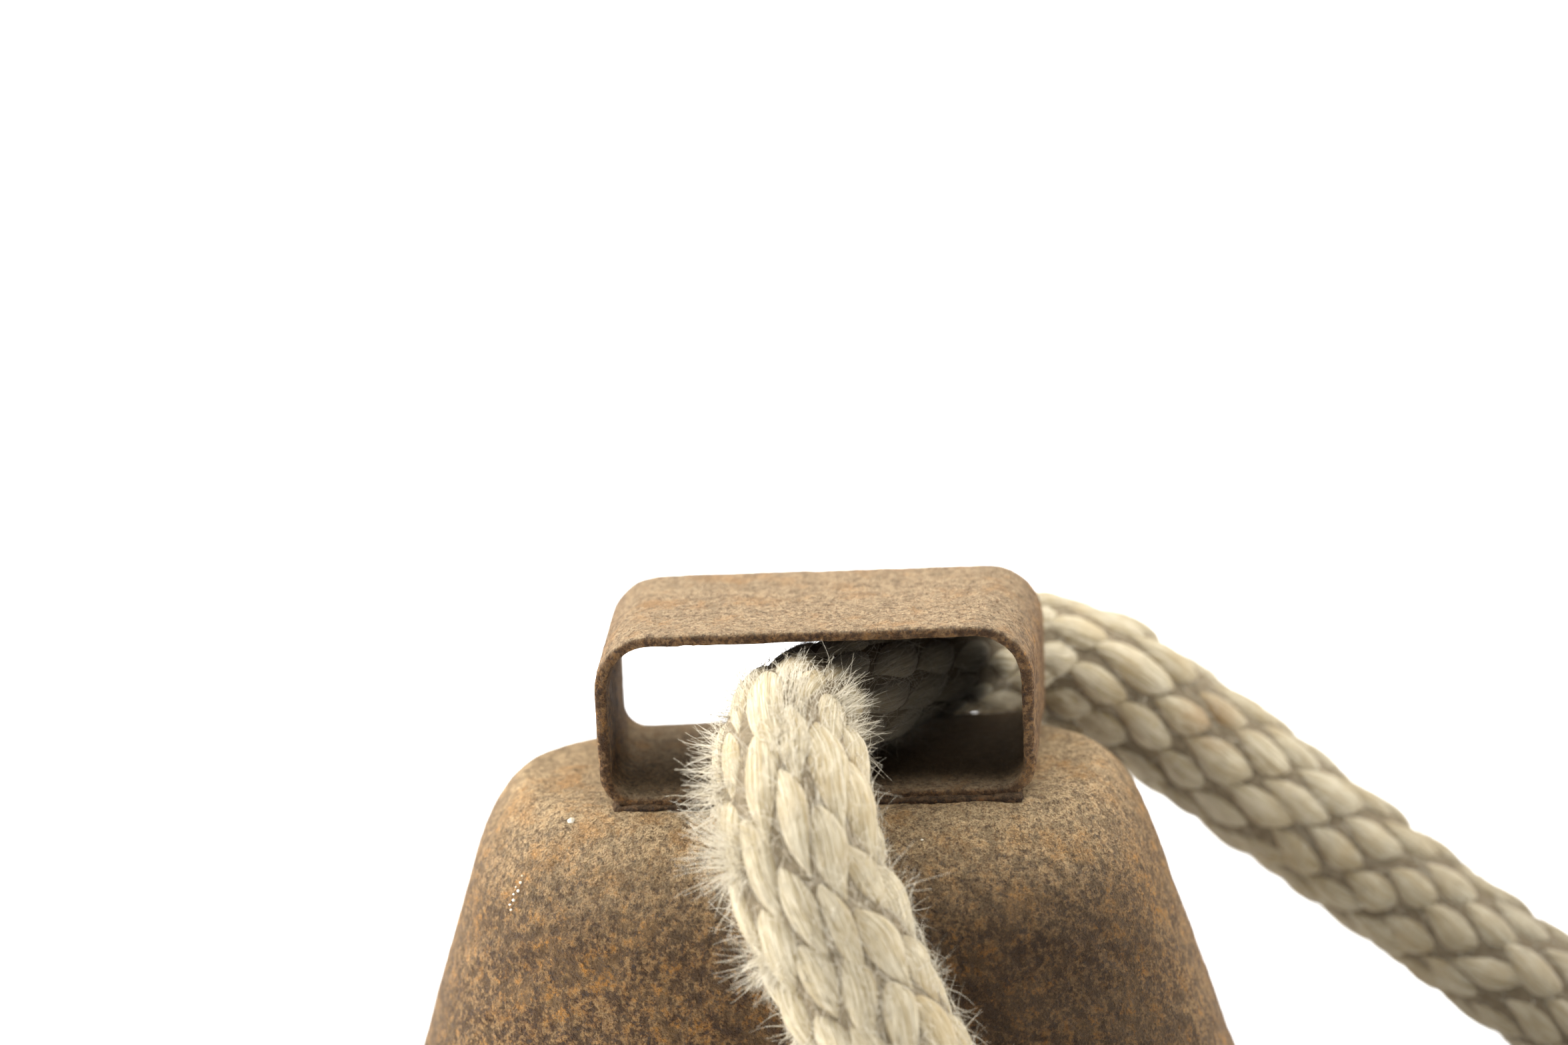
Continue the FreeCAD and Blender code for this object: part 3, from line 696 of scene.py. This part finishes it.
def wound_twine(name, x0, width, place_at, around, material):
    """Two-ply twine wound in close turns. place_at(share) gives Y, Z and the outward direction."""
    pitch = 2.0 * TWINE_R * 0.985
    wraps = (width - 2.0 * TWINE_R) / pitch
    rings, sides = int(wraps * 90), 12
    tube = np.zeros((rings, sides, 3))
    weave = np.zeros((rings, sides, 3))
    for i in range(rings):
        wound = wraps * i / (rings - 1)
        y, z, out_y, out_z = place_at(wound)
        x = x0 + TWINE_R + pitch * wound + 0.10 * math.sin(wound * 5.3)
        along = wound * around
        for j in range(sides):
            turn = FULL_TURN * j / sides
            ply = abs(math.cos(turn + along * 1.5))
            r = TWINE_R * (0.80 + 0.22 * ply)
            lift = r * math.sin(turn)
            tube[i, j] = x + r * math.cos(turn), y + out_y * lift, z + out_z * lift
            weave[i, j] = along, turn + along * 1.5, 3.0
    return tube_object(name, tube[None], material, data={"weave": weave[None]})


def seizing(name, centre_x, material):
    radius = WRAP_INNER + TWINE_R
    around = 2.0 * (LAP_Y[1] - LAP_Y[0]) + FULL_TURN * radius

    def place_at(share):
        return stadium_path(share, radius)

    return wound_twine(name, centre_x - SEIZING_WIDTH / 2.0, SEIZING_WIDTH, place_at, around, material)


def whipping(name, x0, y, material):
    radius = WRAP_INNER + TWINE_R

    def place_at(share):
        return bow_point(y, radius, FULL_TURN * share)

    return wound_twine(name, x0, WHIPPING_WIDTH, place_at, FULL_TURN * radius, material)


# ---- materials ----

class Nodes:
    """Short helpers round one material's node tree."""

    def __init__(self, name):
        self.material = bpy.data.materials.new(name)
        self.material.use_nodes = True
        self.tree = self.material.node_tree
        self.shader = self.tree.nodes["Principled BSDF"]

    def new(self, kind, **settings):
        node = self.tree.nodes.new(kind)
        for key, value in settings.items():
            setattr(node, key, value)
        return node

    def link(self, source, target):
        self.tree.links.new(source, target)

    def vector_math(self, operation, vector, other, output="Vector"):
        node = self.new("ShaderNodeVectorMath", operation=operation)
        self.link(vector, node.inputs[0])
        node.inputs[1].default_value = other
        return node.outputs[output]

    def millimetres(self):
        """Object position in millimetres."""
        place = self.new("ShaderNodeTexCoord")
        scaled = self.new("ShaderNodeVectorMath", operation="SCALE")
        scaled.inputs["Scale"].default_value = 1.0 / MM
        self.link(place.outputs["Object"], scaled.inputs[0])
        return scaled.outputs[0]

    def noise(self, vector, per_mm, detail=4.0, roughness=0.6, distortion=0.0):
        node = self.new("ShaderNodeTexNoise")
        node.inputs["Scale"].default_value = per_mm
        node.inputs["Detail"].default_value = detail
        node.inputs["Roughness"].default_value = roughness
        node.inputs["Distortion"].default_value = distortion
        self.link(vector, node.inputs["Vector"])
        return node.outputs["Fac"]

    def grains(self, vector, per_mm):
        """Packed grains with wavering edges: a random value for each, and the distance from its middle."""
        waver = self.new("ShaderNodeTexNoise")
        waver.inputs["Scale"].default_value = per_mm * 1.3
        self.link(vector, waver.inputs["Vector"])
        moved = self.new("ShaderNodeVectorMath", operation="MULTIPLY_ADD")
        moved.inputs[1].default_value = (0.9 / per_mm,) * 3
        self.link(waver.outputs["Color"], moved.inputs[0])
        self.link(vector, moved.inputs[2])
        node = self.new("ShaderNodeTexVoronoi")
        node.inputs["Scale"].default_value = per_mm
        self.link(moved.outputs[0], node.inputs["Vector"])
        return node.outputs["Color"], node.outputs["Distance"]

    def ramp(self, value, stops):
        node = self.new("ShaderNodeValToRGB")
        while len(node.color_ramp.elements) < len(stops):
            node.color_ramp.elements.new(0.5)
        for element, (position, colour) in zip(node.color_ramp.elements, stops):
            element.position = position
            element.color = (*(colour if isinstance(colour, tuple) else (colour,) * 3), 1.0)
        self.link(value, node.inputs["Fac"])
        return node.outputs["Color"]

    def feed(self, value, socket):
        """Links an output to the socket, or sets the socket to a number or a colour."""
        if hasattr(value, "links"):
            self.link(value, socket)
        elif isinstance(value, tuple):
            socket.default_value = (*value, 1.0)
        elif value is not None:
            socket.default_value = value

    def mix(self, share, a, b):
        node = self.new("ShaderNodeMix", data_type="RGBA")
        for key, value in (("Factor", share), ("A", a), ("B", b)):
            self.feed(value, node.inputs[key])
        return node.outputs["Result"]

    def math(self, operation, a, b):
        node = self.new("ShaderNodeMath", operation=operation)
        for socket, value in zip(node.inputs, (a, b)):
            self.feed(value, socket)
        return node.outputs[0]

    def times(self, a, b):
        return self.math("MULTIPLY", a, b)

    def attribute(self, name, output="Fac"):
        return self.new("ShaderNodeAttribute", attribute_name=name).outputs[output]

    def bump(self, height, distance_mm, strength=1.0, normal=None):
        node = self.new("ShaderNodeBump")
        node.inputs["Strength"].default_value = strength
        node.inputs["Distance"].default_value = distance_mm * MM
        self.link(height, node.inputs["Height"])
        if normal is not None:
            self.link(normal, node.inputs["Normal"])
        return node.outputs["Normal"]

    def finish(self, colour, roughness, normal, specular, sheen=0.0):
        for key, value in (("Base Color", colour), ("Roughness", roughness), ("Normal", normal),
                           ("Specular IOR Level", specular), ("Sheen Weight", sheen)):
            self.feed(value, self.shader.inputs[key])
        return self.material


def rust(name, palette, dust_and_top_light, seed):
    """Old rust: packed granules of browns, orange and slate specks, and pale dust with painted top light on
    what faces up.
    """
    n = Nodes(name)
    dark, mid, light, orange, dust = palette
    place = n.vector_math("ADD", n.millimetres(), (seed, seed * 0.7, -seed))
    patches = n.noise(place, 0.045, 4.0, 0.6, 0.3)
    blotches = n.noise(place, 0.20, 6.0, 0.68, 0.3)
    crust = n.noise(place, 0.62, 6.0, 0.74)
    granules = n.noise(place, 1.5, 5.0, 0.78)
    specks = n.noise(place, 3.4, 2.0, 0.6)
    grain, grain_edge = n.grains(place, 2.1)
    packed = n.math("ADD", n.times(granules, 0.75), n.times(grain, 0.25))
    colour = n.ramp(packed, [(0.42, dark), (0.50, mid), (0.60, light)])
    colour = n.mix(n.ramp(crust, [(0.43, 0.9), (0.50, 0.0)]), colour, dark)
    colour = n.mix(n.ramp(blotches, [(0.50, 0.0), (0.64, 0.45)]), colour, light)
    colour = n.mix(n.ramp(patches, [(0.48, 0.0), (0.62, 0.4)]), colour, dark)
    rusty = n.ramp(crust, [(0.50, 0.0), (0.60, 1.0)])
    rusty = n.times(rusty, n.ramp(blotches, [(0.44, 0.2), (0.58, 1.0)]))
    rusty = n.times(rusty, n.ramp(granules, [(0.44, 0.0), (0.54, 0.85)]))
    colour = n.mix(rusty, colour, orange)
    slate = n.ramp(specks, [(0.55, 0.0), (0.61, 0.75)])
    slate = n.times(slate, n.ramp(granules, [(0.42, 1.0), (0.52, 0.0)]))
    colour = n.mix(slate, colour, SLATE)
    facing = n.new("ShaderNodeNewGeometry")
    apart = n.new("ShaderNodeSeparateXYZ")
    n.link(facing.outputs["Normal"], apart.inputs[0])
    # paler on what faces up: settled dust and painted top light
    upward = n.ramp(apart.outputs["Z"], [(0.20, 0.0), (0.90, dust_and_top_light)])
    hidden = n.ramp(granules, [(0.40, 0.25), (0.50, 1.0)])
    dust_and_top_light_colour = n.mix(n.ramp(crust, [(0.42, 0.70), (0.54, 0.0)]), dust, tuple(0.52 * c for c in dust))
    dust_and_top_light_colour = n.mix(n.ramp(specks, [(0.42, 0.5), (0.50, 0.0)]), dust_and_top_light_colour, mid)
    dust_and_top_light_colour = n.mix(n.ramp(blotches, [(0.52, 0.0), (0.66, 0.45)]), dust_and_top_light_colour, orange)
    colour = n.mix(n.times(upward, hidden), colour, dust_and_top_light_colour)
    relief = n.math("ADD", n.times(granules, 0.75), crust)
    normal = n.bump(relief, 1.6)
    normal = n.bump(n.times(grain_edge, -1.0), 0.22, 1.0, normal)
    normal = n.bump(specks, 0.26, 1.0, normal)
    rough = n.ramp(granules, [(0.35, 0.55), (0.6, 0.92)])
    # grime and painted shade, as each piece's darkening gives
    colour = n.mix(n.attribute("grime_and_shade"), colour, IRON_SHADE_AND_GRIME)
    n.shader.inputs["Sheen Tint"].default_value = (0.95, 0.66, 0.38, 1.0)
    return n.finish(colour, rough, normal, specular=0.14, sheen=0.22)


def fibre_strands(name, pale, mid, dark, bump_mm=0.30):
    """Spun fibre of the braid: fine streaks along each stitch, painted shade down in the gaps, and a few
    stains.
    """
    n = Nodes(name)
    weave = n.attribute("weave", "Vector")

    def streak(along, across, detail):
        stretched = n.vector_math("MULTIPLY", weave, (along, across, 1.0))
        return n.noise(stretched, 1.0, detail, 0.7, 0.35)

    hairs = streak(0.22, 5.0, 3.0)
    bundles = streak(0.13, 1.6, 3.0)
    palest = tuple(min(1.0, c * 1.18) for c in pale)
    colour = n.ramp(hairs, [(0.42, mid), (0.50, pale), (0.62, palest)])
    colour = n.mix(n.ramp(bundles, [(0.38, 0.8), (0.50, 0.0)]), colour, mid)
    colour = n.mix(n.times(n.attribute("shade"), 0.30), colour, mid)
    # painted shade down between the stitches, by the height of the surface
    painted_gap_shade = n.ramp(n.attribute("crest"), [(0.10, 0.88), (0.40, 0.34), (0.72, 0.0)])
    colour = n.mix(painted_gap_shade, colour, dark)
    place = n.millimetres()
    # random patches of tan dirt
    grime_and_shade = n.ramp(n.noise(place, 0.11, 4.0, 0.6), [(0.50, 0.0), (0.70, 0.55)])
    colour = n.mix(grime_and_shade, colour, ROPE_TAN)
    away = n.vector_math("DISTANCE", place, RUST_STAIN, "Value")
    spread = n.math("ADD", away, n.times(n.noise(place, 0.5, 3.0), 5.0))
    stained = n.ramp(n.math("DIVIDE", spread, 10.0), [(0.35, 0.75), (0.85, 0.0)])
    colour = n.mix(stained, colour, RUST_ON_ROPE)
    colour = n.mix(n.attribute("grime_and_shade"), colour, ROPE_SHADE_AND_GRIME)
    normal = n.bump(bundles, bump_mm * 1.8)
    normal = n.bump(hairs, bump_mm, 0.9, normal)
    return n.finish(colour, 0.9, normal, specular=0.10, sheen=0.08)


def loose_fibre(name, pale, mid):
    n = Nodes(name)
    tint = n.ramp(n.noise(n.millimetres(), 0.8, 2.0), [(0.35, mid), (0.6, pale)])
    tint = n.mix(n.attribute("grime_and_shade"), tint, ROPE_SHADE_AND_GRIME)
    return n.finish(tint, 0.8, None, specular=0.12, sheen=0.1)


def core_fibre(name, colour):
    n = Nodes(name)
    darker = tuple(c * 0.55 for c in colour)
    tint = n.ramp(n.noise(n.millimetres(), 0.9, 4.0), [(0.3, darker), (0.7, colour)])
    tint = n.mix(n.attribute("grime_and_shade"), tint, CORE_SHADE_AND_GRIME)
    return n.finish(tint, 0.95, n.bump(n.noise(n.millimetres(), 2.0, 3.0), 0.3), specular=0.05)


def pale_floor():
    n = Nodes("pale_floor")
    tint = n.ramp(n.noise(n.millimetres(), 0.002, 2.0), [(0.3, 0.90), (0.7, 0.93)])
    return n.finish(tint, 0.9, None, specular=0.1)


# ---- stage ----

def make_floor():
    """A wide pale sheet under the bell."""
    mesh = bpy.data.meshes.new("floor")
    reach, cells = 1.0, 8
    ticks = [reach * (2.0 * i / cells - 1.0) for i in range(cells + 1)]
    points = [(x, y, 0.0) for y in ticks for x in ticks]
    row = cells + 1
    faces = [(j * row + i, j * row + i + 1, (j + 1) * row + i + 1, (j + 1) * row + i)
             for j in range(cells) for i in range(cells)]
    mesh.from_pydata(points, [], faces)
    mesh.materials.append(pale_floor())
    new_object("floor", mesh)


def area_light(name, place, size, power):
    """A rectangular lamp that points at the bell."""
    light = bpy.data.lights.new(name, "AREA")
    light.shape = "RECTANGLE"
    light.size, light.size_y = size
    light.energy = power
    lamp = new_object(name, light)
    lamp.location = place
    lamp.rotation_mode = "QUATERNION"
    lamp.rotation_quaternion = (Vector(LIGHT_AIM) - Vector(place)).to_track_quat("-Z", "Y")


def make_lights():
    """Broad soft light from above and from the left, weaker from the right, and little from the front.

    The world lights the bell weakly, but the camera sees it white.
    """
    area_light("top_light", (0.0, 0.35, 1.3), (2.0, 1.6), TOP_POWER)
    area_light("left_light", (-1.3, 0.15, 0.60), (0.9, 1.2), LEFT_POWER)
    area_light("right_light", (1.3, 0.30, 0.55), (1.0, 1.2), RIGHT_POWER)
    area_light("front_light", (-0.6, -1.5, 0.9), (1.0, 1.0), FRONT_POWER)
    world = bpy.data.worlds.new("studio")
    world.use_nodes = True
    backdrop = world.node_tree.nodes["Background"]
    backdrop.inputs["Color"].default_value = (1.0, 1.0, 1.0, 1.0)
    seen = world.node_tree.nodes.new("ShaderNodeLightPath")
    strength = world.node_tree.nodes.new("ShaderNodeMapRange")
    strength.inputs["To Min"].default_value = WORLD_LIGHT
    strength.inputs["To Max"].default_value = WORLD_SEEN
    world.node_tree.links.new(seen.outputs["Is Camera Ray"], strength.inputs["Value"])
    world.node_tree.links.new(strength.outputs["Result"], backdrop.inputs["Strength"])
    bpy.context.scene.world = world


def make_camera():
    """Long lens a little above and to the right of the bell, with the front of the strap loop in focus."""
    yaw, elevation, roll = [math.radians(angle) for angle in CAMERA_TURN]
    across, above, distance = CAMERA_FROM_LOOP
    level_share = math.cos(elevation)
    back = Vector((math.sin(yaw) * level_share, -math.cos(yaw) * level_share, math.sin(elevation)))
    level = (-back).cross(Vector((0.0, 0.0, 1.0))).normalized()
    upright = level.cross(-back)
    right = math.cos(roll) * level + math.sin(roll) * upright
    up = math.cos(roll) * upright - math.sin(roll) * level
    loop_foot = Vector((LOOP_X, 0.0, BODY_HEIGHT)) * MM
    place = loop_foot + right * across + up * above + back * distance
    data = bpy.data.cameras.new("camera")
    data.lens, data.sensor_width = LENS, 36.0
    data.clip_start, data.clip_end = 0.01, 50.0
    focus = new_object("focus", None)
    focus.location = Vector((LOOP_X, -STRAP_HALF_DEPTH, FOCUS_Z)) * MM
    data.dof.use_dof = True
    data.dof.focus_object = focus
    data.dof.aperture_fstop = F_STOP
    camera = new_object("camera", data)
    rotation = Matrix((right, up, back)).transposed().to_4x4()
    camera.matrix_world = Matrix.Translation(place) @ rotation
    bpy.context.scene.camera = camera


# ---- assembly ----

def paint_node(name, material):
    """Gives a CAD node that stays in view its material."""
    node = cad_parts[name]
    node.data.materials.clear()
    node.data.materials.append(material)
    node.data.shade_smooth()


def attach(piece, body, slot, *nodes):
    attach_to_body(piece, body)
    if nodes:
        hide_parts(*nodes)


def build_bell():
    sheet = rust("rusted_sheet", SHEET_RUST, 0.85, 0.0)
    strap = rust("rusted_strap", STRAP_RUST, 0.88, 31.0)
    rivet = rust("rusted_rivet", RIVET_RUST, 0.60, 57.0)
    inside = rust("dark_iron", CLAPPER_RUST, 0.40, 83.0)
    attach(bell_body(sheet), "bell", "rusted_sheet", "bell_body")
    attach(crown_strap(strap), "bell", "rusted_strap", "crown_strap")
    # the foot crust's dark rust is rust scale and a painted shade line along the strap's foot
    attach(foot_crust(rivet), "bell", "rusted_strap")
    lime = loose_fibre("dried_lime", (0.80, 0.76, 0.66), (0.58, 0.50, 0.34))
    attach(lime_flecks(lime), "bell", "rusted_sheet")
    for name in ("seam_rivets_left", "seam_rivets_right"):
        paint_node(name, rivet)
    for name in ("clapper_staple", "clapper_link", "clapper_rod", "clapper_ball"):
        paint_node(name, inside)


def build_collar():
    # the third colour is the painted shade between the stitches
    pale, mid, dark = (0.60, 0.530, 0.385), (0.40, 0.320, 0.188), (0.16, 0.115, 0.060)
    strands = fibre_strands("rope_strands", pale, mid, dark)
    # paler than the braid's fibre: painted light on the tufts and hairs, which shade each other
    loose = loose_fibre("rope_loose", (0.76, 0.70, 0.57), (0.58, 0.51, 0.37))
    # darker than the braid's fibre: painted shade between the stitches
    core = core_fibre("rope_core", (0.27, 0.215, 0.14))
    twine = fibre_strands("twine", (0.42, 0.31, 0.18), (0.27, 0.19, 0.105), (0.10, 0.07, 0.04), 0.08)
    rope = Rope()
    # the braid changes on the bell's face, in the strap loop and at the far bend
    near = rope.nearest_run(13.2, -39.0, 66.2)
    over = rope.nearest_run(9.6, 4.2, SADDLE_Z)
    far = rope.nearest_run(113.0, 4.0, 44.0)
    attach(rope_core(rope, core), "collar", "rope_fibre", "rope")
    # name, from, to, half length of a stitch, rings and sides of its skin
    braids = [
        ("braid_front_end", 0.0, near, STITCH_HALF_SLACK, 11, 10),
        ("braid_front_leg", near, over, STITCH_HALF, 22, 28),
        ("braid_rear_leg", over, far, STITCH_HALF_SLACK, 17, 14),
        ("braid_rear_end", far, rope.length, STITCH_HALF_SLACK, 11, 10),
    ]
    # name, number, from, to, greatest length, lift, radius
    hairs = [
        ("nap_front_leg", 4600, near, over, 5.0, 0.12, 0.034),
        ("hairs_front_leg", 900, near, over, 4.5, 1.2, 0.040),
        ("nap_rear_leg", 2500, over, far, 4.5, 0.15, 0.035),
        ("hairs_rear_leg", 500, over, rope.length, 3.0, 1.0, 0.045),
        ("hairs_front_end", 900, 0.0, near, 3.0, 0.8, 0.045),
    ]
    fibres = [stitches(rope, strands, *braid) for braid in braids]
    fibres += [flyaways(rope, loose, *group) for group in hairs]
    fibres += [tufts("tufts", rope, TUFTS, loose)]
    fibres += [end_brush(f"{end}_end_brush", rope, end == "front", loose) for end in ("front", "rear")]
    for piece in fibres:
        attach(piece, "collar", "rope_fibre")
    middle = sum(LAP_X) / 2.0
    for side, offset in (("inner", -SEIZING_OFFSET), ("outer", SEIZING_OFFSET)):
        bound = seizing(f"seizing_{side}", middle + offset, twine)
        attach(bound, "collar", "twine_fibre", f"rope_seizing_{side}")
    for end, x, y in (("front", LAP_X[1] - 13.5, LAP_Y[0]), ("rear", LAP_X[0] + 4.5, LAP_Y[1])):
        bound = whipping(f"whipping_{end}", x, y, twine)
        attach(bound, "collar", "twine_fibre", f"{end}_end_whipping")


LEFT, RIGHT, FRONT_LEFT = (-1.0, -0.25, 0.1), (1.0, -0.3, 0.1), (-0.6, -1.0, 0.2)
RIGHT_TOP, LEFT_TOP, FRONT_TOP = (0.9, -0.5, 0.6), (-0.8, -0.4, 0.8), (0.1, -0.7, 0.7)
UNDER = (-0.6, 0.2, -0.9)
# x, y, z on the rope, the way the tuft faces, its lean along the rope, number of fibres, length
TUFTS = [
    (-0.9, -13.0, 108.7, LEFT, 0.3, 70, 4.6),
    (-1.6, -16.0, 108.4, LEFT_TOP, 0.7, 80, 4.0),
    (-1.6, -20.0, 107.2, LEFT, 0.2, 70, 4.0),
    (-2.0, -15.0, 108.6, RIGHT_TOP, 0.7, 80, 4.6),
    (-1.8, -18.5, 107.8, RIGHT, 0.2, 40, 4.2),
    (-1.8, -17.5, 108.2, FRONT_TOP, 1.0, 90, 4.4),
    (-1.7, -21.0, 106.8, FRONT_TOP, 1.1, 80, 4.0),
    (-1.2, -24.5, 104.6, FRONT_TOP, 1.2, 60, 3.4),
    (-0.4, -28.6, 100.0, FRONT_TOP, 1.2, 50, 3.0),
    (-1.2, -24.2, 105.0, LEFT, -0.15, 110, 5.4),
    (-0.6, -27.9, 101.2, FRONT_LEFT, 0.2, 50, 3.2),
    (-0.4, -28.8, 99.8, LEFT, 0.5, 120, 6.4),
    (0.1, -29.7, 98.2, LEFT, -0.7, 60, 5.4),
    (2.6, -32.4, 91.0, LEFT, 0.1, 80, 5.4),
    (3.4, -33.0, 89.0, LEFT, -0.6, 50, 3.6),
    (6.2, -34.6, 82.0, LEFT, -0.2, 50, 3.4),
    (8.6, -36.0, 77.0, LEFT, 0.0, 50, 3.4),
    (16.5, 15.5, 106.3, UNDER, 0.0, 70, 3.4),
    (1.5, -31.6, 94.0, RIGHT, 0.9, 12, 6.6),
    (3.6, -33.0, 88.6, RIGHT, 0.7, 12, 5.4),
    (6.6, -34.8, 81.4, RIGHT, 0.4, 12, 4.4),
]
# angle round the body in degrees, depth below the crown, size in millimetres
LIME_FLECKS = [
    (205.2, 6.6, 0.13), (205.6, 7.3, 0.17), (205.1, 7.9, 0.12), (205.9, 8.2, 0.18), (205.3, 8.7, 0.13),
    (205.8, 9.3, 0.18), (205.4, 9.9, 0.13), (206.0, 10.4, 0.14), (205.3, 0.9, 0.42), (305.2, 2.3, 0.13),
]

build_bell()
build_collar()
make_floor()
make_lights()
make_camera()
bpy.context.scene.view_settings.view_transform = "Standard"
